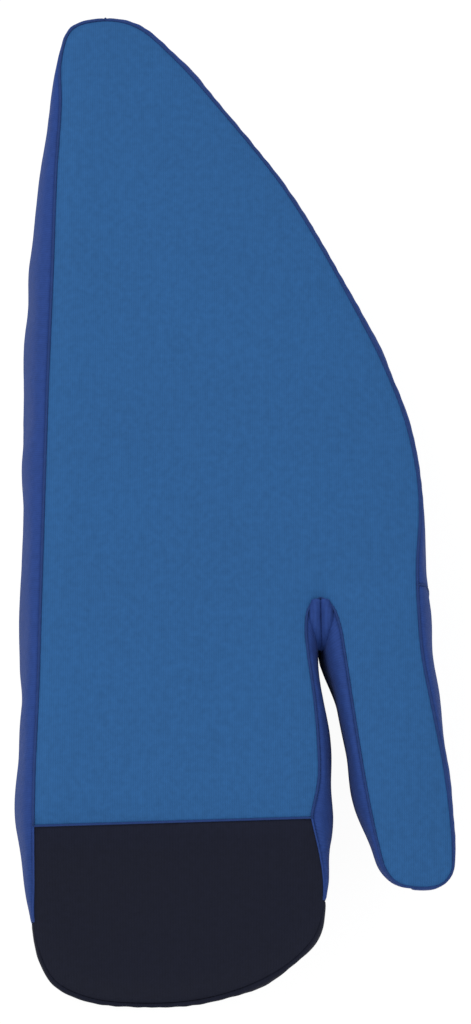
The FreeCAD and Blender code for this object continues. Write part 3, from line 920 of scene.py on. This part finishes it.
def cradle_rows():
    """Places along the cradle, with both sides of each end of a strap bay, and the bay that each is in."""
    bays = strap_bays()
    places = set(np.linspace(CRADLE_MOUTH_Y, CRADLE_END_Y, 33).tolist())
    for bay in bays:
        places |= {end + step for end in (bay[1], bay[3]) for step in (-0.05, 0.05)}
    return [(y, next((bay for bay in bays if bay[1] < y < bay[3]), None)) for y in sorted(places)]


def cradle_outline():
    """The opening of the cradle and of the strap bays in the back, in millimetres."""
    left, right = [], []
    for y, bay in cradle_rows():
        left.append((bay[0] if bay else cradle_side(CRADLE_LEFT, y), y))
        right.append((bay[2] if bay else cradle_side(CRADLE_RIGHT, y), y))
    bottom = [(x, CRADLE_MOUTH_Y) for x in np.linspace(right[0][0], left[0][0], 16)[1:-1]]
    return np.array(left + right[::-1] + bottom)


def bay_cover(name, bay, material, sizes):
    """The lining of a strap's bay beside the cradle, with its three sides."""
    low, right, high = bay[1:]
    rows = []
    for n, y in enumerate([low, *np.linspace(low, high, 9), high]):
        start = cradle_side(CRADLE_RIGHT, y) - 0.4
        flange = n in (0, 10)
        row = [(x, y, 0.7 if flange else BAY_TOP) for x in np.linspace(start, right, 12)]
        rows.append(row + [(right, y, 0.7)])
    piece = sheet_of_rows(name, rows, material)
    thicken(piece, sizes.cloth * 0.4, 1)
    return piece


class GLOVE_OT_lining(Operator):
    """Build the lining of the forearm cradle and of the pocket, and the binding of its mouth"""
    bl_idname = "glove.lining"
    bl_label = "Lining"

    def execute(self, context):
        sizes, tints = context.scene.glove_sizes, context.scene.glove_colours
        soft = lining_fabric(tints)
        rows = []
        for y, bay in cradle_rows():
            low = BAY_TOP if bay else float(under(0, y, False)) + 0.6
            high = max(float(hand_top(0, y)) - CRADLE_FOAM, low + 1.5)
            rows.append(arch(cradle_side(CRADLE_LEFT, y), cradle_side(CRADLE_RIGHT, y), y, low, high))
        trough = sheet_of_rows("cradle_cover", rows, soft)
        thicken(trough, sizes.cloth, 1)
        place(trough, "glove", "lining", "cradle_lining")
        rows = []
        for n in range(25):
            t = n / 24
            y = CRADLE_MOUTH_Y - POCKET_LENGTH * t
            squeeze = POCKET_SQUEEZE * max(0.0, t - 0.85) / 0.15
            high = min(float(hand_top(0, y)) - FACE_FOAM, POCKET_TOP)
            if y < RIDGE_Y:
                high = float(hand_top(0, y)) - FINGERTIP_FOAM
            rows.append(ring(POCKET_LEFT + squeeze, POCKET_RIGHT - squeeze, y, BACK_FOAM, max(high, 18.0)))
        pocket = sheet_of_rows("pocket_cover", rows, soft, closed=True)
        close_end(pocket, len(rows[0]), len(rows))
        thicken(pocket, sizes.cloth * 0.8, 0)
        place(pocket, "glove", "lining", "hand_liner", "palm_plate", "fingertip_plate")
        for name, bay in zip(("wrist", "forearm"), strap_bays()):
            place(bay_cover(f"{name}_bay_cover", bay, soft, sizes), "glove", "lining")
        low, high = corners("cuff_binding")
        band = navy_fabric(tints)
        across = np.linspace(low[0] + 1, high[0] - 1, 40)
        line = [(x, CRADLE_MOUTH_Y + 0.6, 3.6 + 0.4 * math.sin(x / 9)) for x in across]
        binding = tube("mouth_binding", line, 4.4, band, flat=0.84, sides=14)
        tidy_scale(binding, 0.42, CRADLE_MOUTH_Y + 0.6)
        place(binding, "glove", "navy_fabric", "cuff_binding")
        return {"FINISHED"}


def tidy_scale(piece, share, middle):
    """Flattens a piece along Y towards a place, in millimetres."""
    for vert in piece.data.vertices:
        vert.co.y = middle * MM + (vert.co.y - middle * MM) * share


def arch(left, right, y, low, high):
    """An upturned U across the cradle with rounded corners."""
    bend = min(9.0, (high - low) * 0.7, (right - left) * 0.4)
    points = [(left, y, low + (high - bend - low) * k / 4) for k in range(5)]
    points += [(left + bend - bend * math.cos(a), y, high - bend + bend * math.sin(a))
               for a in (math.pi / 2 * k / 5 for k in range(1, 6))]
    points += [(left + bend + (right - left - 2 * bend) * k / 12, y,
                high + rough(left + k * 8, y, 3.0, 22.0, 0.7)) for k in range(1, 12)]
    points += [(right - bend + bend * math.sin(a), y, high - bend + bend * math.cos(a))
               for a in (math.pi / 2 * k / 5 for k in range(0, 6))]
    points += [(right, y, high - bend - (high - bend - low) * k / 4) for k in range(1, 5)]
    return points


def ring(left, right, y, low, high):
    """A rounded ring across the pocket."""
    middle_x, middle_z = (left + right) / 2, (low + high) / 2
    half_x, half_z = (right - left) / 2, (high - low) / 2
    points = []
    for k in range(40):
        a = 2 * math.pi * k / 40
        c, s = math.cos(a), math.sin(a)
        x = middle_x + half_x * math.copysign(abs(c) ** 0.45, c)
        z = middle_z + half_z * math.copysign(abs(s) ** 0.45, s)
        points.append((x, y, z + rough(c * 30, y, 8.0, 20.0, 0.5)))
    return points


def close_end(piece, count, rows):
    """Closes the last ring of a tube of rows with a cap."""
    with edited(piece) as work:
        work.faces.new([work.verts[(rows - 1) * count + k] for k in range(count)])
        bmesh.ops.recalc_face_normals(work, faces=work.faces)
        bmesh.ops.reverse_faces(work, faces=work.faces)


class GLOVE_OT_seams(Operator):
    """Build the welts of the seams and the hem on the ridge"""
    bl_idname = "glove.seams"
    bl_label = "Seams and stitching"

    def execute(self, context):
        sizes, tints = context.scene.glove_sizes, context.scene.glove_colours
        welt = cloth("Welt fabric", tints.welt, pitch=0.7, relief=0.08)
        lip = gusset_shaded_fabric(tints)
        radius = sizes.welt / MM

        def seam(name, start, end, material=welt, girth=radius, thumb=False):
            places = run(start, end)[:, SEAM]
            line = [(x, y, float(seam_height(x, y, thumb, sizes)) + 0.3) for x, y in places]
            piece = tube(name, line, girth, material)
            if thumb:
                place_on_thumb(piece, "gusset")
            else:
                place(piece, "glove", "gusset")

        seam("little_finger_welt", "ridge_left", "tip_middle")
        seam("outer_welt", "tip_middle", "thumb_outer")
        place(wall_welt("forearm_tip_welt", run("navy_left", "tip_middle"), sizes, welt), "glove", "gusset")
        place(wall_welt("thumb_root_welt", run("tip_middle", "thumb_outer"), sizes, welt), "glove", "gusset")
        seam("thumb_welt", "thumb_outer", "crotch", thumb=True)
        seam("crotch_welt", "crotch", "ridge_right")
        seam("fingertip_left_welt", "navy_left", "ridge_left", lip, radius * 0.8)
        seam("fingertip_right_welt", "ridge_right", "navy_right", lip, radius * 0.8)
        right, left = OUTLINE[STARTS["ridge_right"]][SEAM], OUTLINE[STARTS["ridge_left"]][SEAM]
        line = [(x, y, float(seam_height(x, y, False, sizes)) + 0.4) for x, y in np.linspace(right, left, 60)]
        hem = tube("ridge_hem", line, radius * 0.9, welt)
        place(hem, "glove", "gusset")
        return {"FINISHED"}


class GLOVE_OT_straps(Operator):
    """Build the two straps with their sewn ends, hook tape and loop pile"""
    bl_idname = "glove.straps"
    bl_label = "Straps"

    def execute(self, context):
        sizes, tints = context.scene.glove_sizes, context.scene.glove_colours
        webbing = cloth("Strap webbing", tints.webbing, pitch=1.6, rib=0.9, relief=0.3, cloudiness=0.2)
        pile = cloth("Loop pile", (0.012, 0.012, 0.016), pitch=0.7, relief=0.35, sheen=0.2)
        hook = cloth("Hook tape", (0.01, 0.01, 0.013), pitch=0.9, relief=0.4, sheen=0.0)
        thread = cloth("Strap thread", tints.thread, pitch=0.4, relief=0.03)
        for name in ("wrist", "forearm"):
            body = f"{name}_strap"
            for piece, node, material, rides, slot, form in (
                    ("strap_webbing", "strap", webbing, body, "webbing", {"taper": 6.0, "ripple": 0.25}),
                    ("hook_tape", "hook_patch", hook, body, "hook_tape", {"round_by": 0.3}),
                    ("loop_pile", "loop_patch", pile, "glove", "loop_pile", {"round_by": 0.3}),
                    ("strap_sewn_end", "strap_anchor", webbing, "glove", "webbing", {"round_by": 0.8})):
                low, high = corners(f"{name}_{node}")
                flat = strip(f"{name}_{piece}", low, high, material, **form)
                place(flat, rides, slot, f"{name}_{node}")
            a, b, c, d = low[0] + 1.5, high[0] - 1.5, low[1] + 2.5, high[1] - 2.5
            line = [(a, c), (b, c), (b, d), (a, d), (a, c), (b, d)]
            path = np.vstack([np.linspace(p, q, 12) for p, q in zip(line[:-1], line[1:])])
            places = [(x, y, low[2]) for x, y in path]
            box = stitches(f"{name}_box_stitch", places, [(0, 0, -1)] * len(places), thread, sizes)
            place(box, "glove", "webbing")
            low, high = corners(body)
            a, b, c, d = low[0] + 3, high[0] - 4.5, low[1] + 2.2, high[1] - 2.2
            path = np.vstack([np.linspace((a, c), (b, c), 40), np.linspace((b, c), (b, d), 12),
                              np.linspace((b, d), (a, d), 40)])
            places = [(x, y, low[2] + 0.1) for x, y in path]
            hem = stitches(f"{name}_strap_stitch", places, [(0, 0, -1)] * len(places), thread, sizes)
            place(hem, body, "webbing")
        return {"FINISHED"}


class GLOVE_OT_inside(Operator):
    """Give the pieces inside the pads their own finishes"""
    bl_idname = "glove.inside"
    bl_label = "Inner pieces"

    def execute(self, context):
        tints = context.scene.glove_colours
        soft = lining_fabric(tints)
        board, tree, shader = new_material("Stiffener sheet")
        pale = (0.7, 0.72, 0.72, 1)
        wear_and_highlight = use_group(tree, "Handling wear and thread highlight", wear_and_highlight_group, {"Cloth colour": pale})
        feed(tree, shader, {"Base Color": wear_and_highlight["Colour"], "Roughness": wear_and_highlight["Roughness"]})
        for node, material in (("finger_webs", soft), ("thumb_liner", soft), ("thumb_plate", board)):
            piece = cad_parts[node]
            for place_in in piece.material_slots:
                place_in.material = material
        return {"FINISHED"}


# Name, place in metres, watts and width in metres of each lamp.
LAMPS = (
    ("key", (-0.9, 0.7, 1.5), 15, 0.9),
    ("fill", (1.2, -0.4, 1.3), 6, 1.4),
    ("low", (0.0, -1.5, 0.9), 4, 1.2),
)
CAMERA_TILT, CAMERA_FAR, CAMERA_AIM = math.radians(12), 2.5, Vector((0.0002, -0.0085, 0.04))
FRAME_HEIGHT, SENSOR = 0.4096, 36.0
FLOOR_REACH, FLOOR_Z = 6000, -0.4


class GLOVE_OT_stage(Operator):
    """Set the pale floor, the soft lights and the camera"""
    bl_idname = "glove.stage"
    bl_label = "Stage"

    def execute(self, context):
        scene = context.scene
        floor, tree, shader = new_material("Pale floor")
        feed(tree, shader, {"Base Color": (0.9, 0.9, 0.9, 1), "Roughness": 0.9})
        glow = add(tree, "Emission", {"Color": (1, 1, 1, 1), "Strength": 1.06})
        ray = add(tree, "LightPath", {}).outputs["Is Camera Ray"]
        share = math_node(tree, "MULTIPLY", ray, 0.9)
        both = add(tree, "MixShader", {0: share, 1: shader.outputs[0], 2: glow.outputs[0]})
        facing = add(tree, "NewGeometry", {}).outputs["Backfacing"]
        clear = add(tree, "BsdfTransparent", {})
        below = add(tree, "MixShader", {0: facing, 1: both.outputs[0], 2: clear.outputs[0]})
        feed(tree, tree.nodes["Material Output"], {"Surface": below.outputs[0]})
        ends = (FLOOR_REACH, -FLOOR_REACH)
        ground = sheet_of_rows("floor", [[(x, y, FLOOR_Z) for x in ends] for y in ends], floor)
        world = bpy.data.worlds.new("Studio")
        world.use_nodes = True
        sky = world.node_tree
        feed(sky, sky.nodes["Background"], {"Color": (1, 1, 1, 1), "Strength": 0.5})
        scene.world = world
        for name, spot, power, width in LAMPS:
            lamp = bpy.data.lights.new(name, "AREA")
            lamp.energy = power
            lamp.size = width
            light = bpy.data.objects.new(name, lamp)
            light.location = spot
            light.rotation_euler = (-Vector(spot)).to_track_quat("-Z", "Y").to_euler()
            scene.collection.objects.link(light)
        lens = bpy.data.cameras.new("camera")
        lens.sensor_fit = "VERTICAL"
        lens.sensor_height = SENSOR
        lens.lens = SENSOR * CAMERA_FAR / FRAME_HEIGHT
        lens.clip_start = 0.01
        camera = bpy.data.objects.new("camera", lens)
        back_off = Vector((0, -math.sin(CAMERA_TILT), math.cos(CAMERA_TILT)))
        camera.location = CAMERA_AIM + CAMERA_FAR * back_off
        camera.rotation_euler = (CAMERA_TILT, 0, 0)
        scene.collection.objects.link(camera)
        scene.camera = camera
        scene.view_settings.view_transform = "Standard"
        return {"FINISHED"}


STEPS = (GLOVE_OT_face, GLOVE_OT_gussets, GLOVE_OT_fingertips, GLOVE_OT_back, GLOVE_OT_lining,
         GLOVE_OT_seams, GLOVE_OT_straps, GLOVE_OT_inside, GLOVE_OT_stage)


class GLOVE_PT_panel(Panel):
    """Lists the steps that dress the glove"""
    bl_label = "Catch glove"
    bl_idname = "GLOVE_PT_panel"
    bl_space_type = "VIEW_3D"
    bl_region_type = "UI"
    bl_category = "Glove"

    def draw(self, context):
        for group in (context.scene.glove_sizes, context.scene.glove_colours):
            for name in group.bl_rna.properties.keys():
                if name not in ("rna_type", "name"):
                    self.layout.prop(group, name)
        for step in STEPS:
            self.layout.operator(step.bl_idname)


CLASSES = (GloveSizes, GloveColours, *STEPS, GLOVE_PT_panel)


def register():
    for kind in CLASSES:
        bpy.utils.register_class(kind)
    bpy.types.Scene.glove_sizes = PointerProperty(type=GloveSizes)
    bpy.types.Scene.glove_colours = PointerProperty(type=GloveColours)


def unregister():
    del bpy.types.Scene.glove_colours
    del bpy.types.Scene.glove_sizes
    for kind in reversed(CLASSES):
        bpy.utils.unregister_class(kind)


def main():
    """Registers the add-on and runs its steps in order."""
    register()
    for step in STEPS:
        group, name = step.bl_idname.split(".")
        getattr(getattr(bpy.ops, group), name)()
    bpy.context.view_layer.update()


if __name__ == "__main__":
    main()
